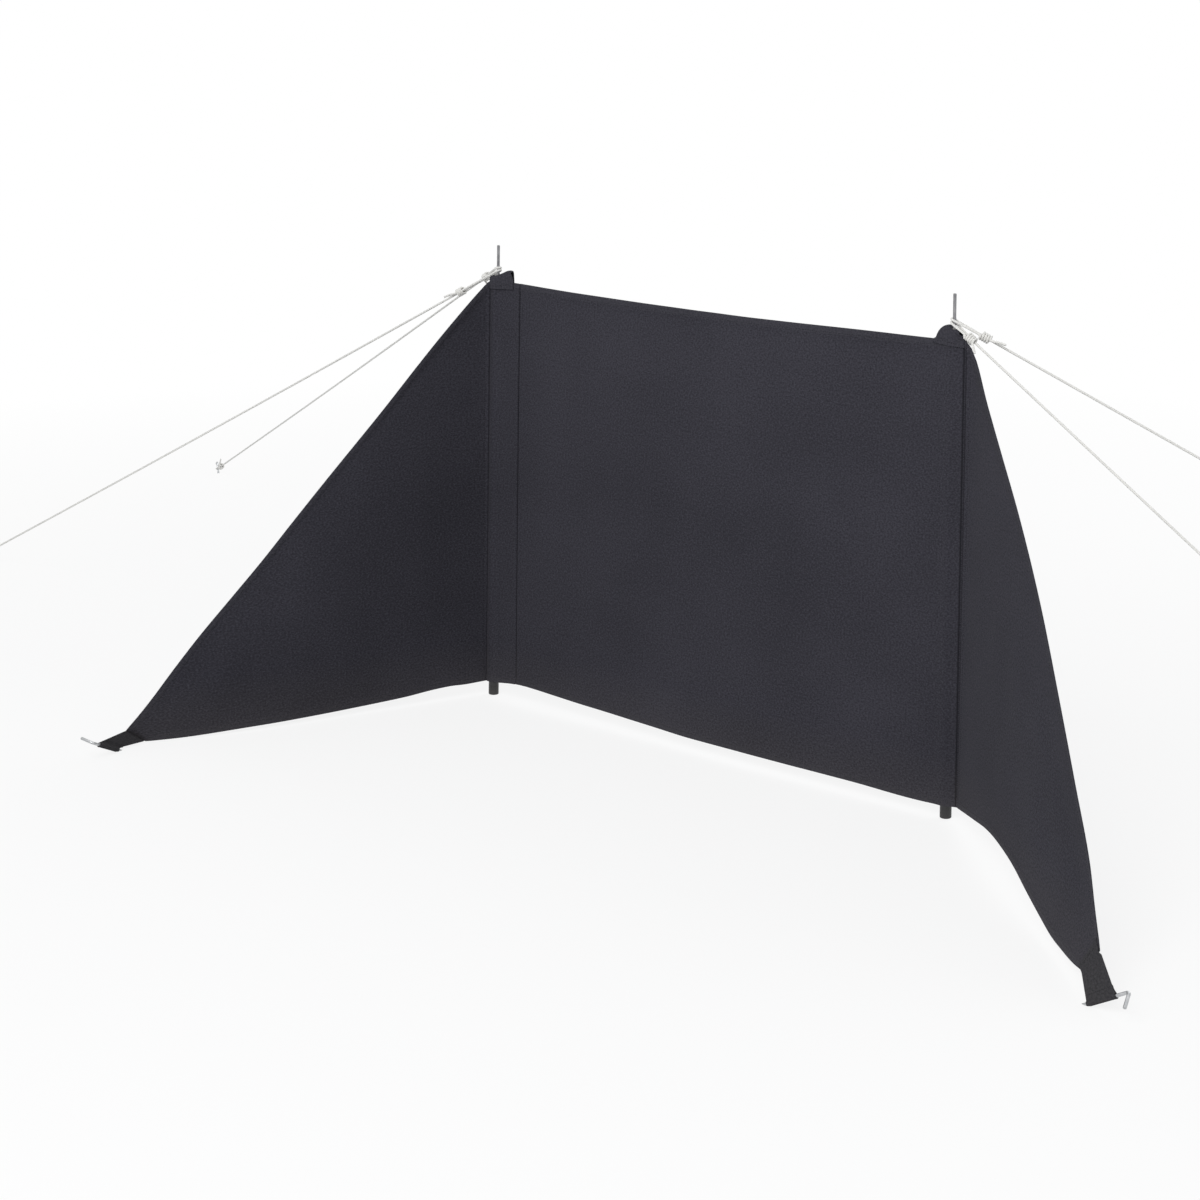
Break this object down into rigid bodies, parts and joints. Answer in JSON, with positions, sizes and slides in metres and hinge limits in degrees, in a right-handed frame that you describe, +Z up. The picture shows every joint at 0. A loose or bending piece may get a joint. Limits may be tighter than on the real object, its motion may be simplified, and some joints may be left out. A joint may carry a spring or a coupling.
{
  "type": "campfire windscreen",
  "caption": "Free-standing cloth windscreen: a flat panel on two poles with triangular pegged wings and guy ropes to the sides and back.",
  "frame": {"origin": "centre of the left pole's foot, on the ground", "axes": "+Z up, +X along the panel from the left pole to the right one, -Y towards the fire and the wings"},
  "size_m": [5.2357, 2.0531, 0.9794],
  "materials": {
    "cloth": "matt woven cotton and polyester, charcoal",
    "rope": "braided off-white cord",
    "pole": "black painted steel tube",
    "foot": "moulded black plug",
    "spike_steel": "bright drawn steel rod",
    "peg_steel": "galvanised steel rod",
    "eyelet": "pressed metal eyelet"
  },
  "bodies": {
    "root": {"centre_panel": "cloth", "left_sleeve": "cloth", "right_sleeve": "cloth", "left_wing": "cloth", "right_wing": "cloth", "left_strap": "cloth", "right_strap": "cloth", "left_strap_loop": "cloth", "right_strap_loop": "cloth", "left_wing_peg": "peg_steel", "right_wing_peg": "peg_steel", "left_cap": "cloth", "right_cap": "cloth", "left_eyelet": "eyelet", "right_eyelet": "eyelet", "left_pole": "pole", "right_pole": "pole", "left_foot": "foot", "right_foot": "foot", "left_spike": "spike_steel", "right_spike": "spike_steel", "left_back_loop": "rope", "right_back_loop": "rope", "left_side_loop": "rope", "right_side_loop": "rope", "left_back_knot": "rope", "right_back_knot": "rope", "left_side_knot": "rope", "right_side_knot": "rope", "left_back_rope": "rope", "right_back_rope": "rope", "left_side_rope": "rope", "right_side_rope": "rope", "left_back_hitch": "rope", "right_back_hitch": "rope", "left_side_hitch": "rope", "right_side_hitch": "rope", "left_back_peg": "peg_steel", "right_back_peg": "peg_steel", "left_side_peg": "peg_steel", "right_side_peg": "peg_steel"}
  },
  "joints": []
}
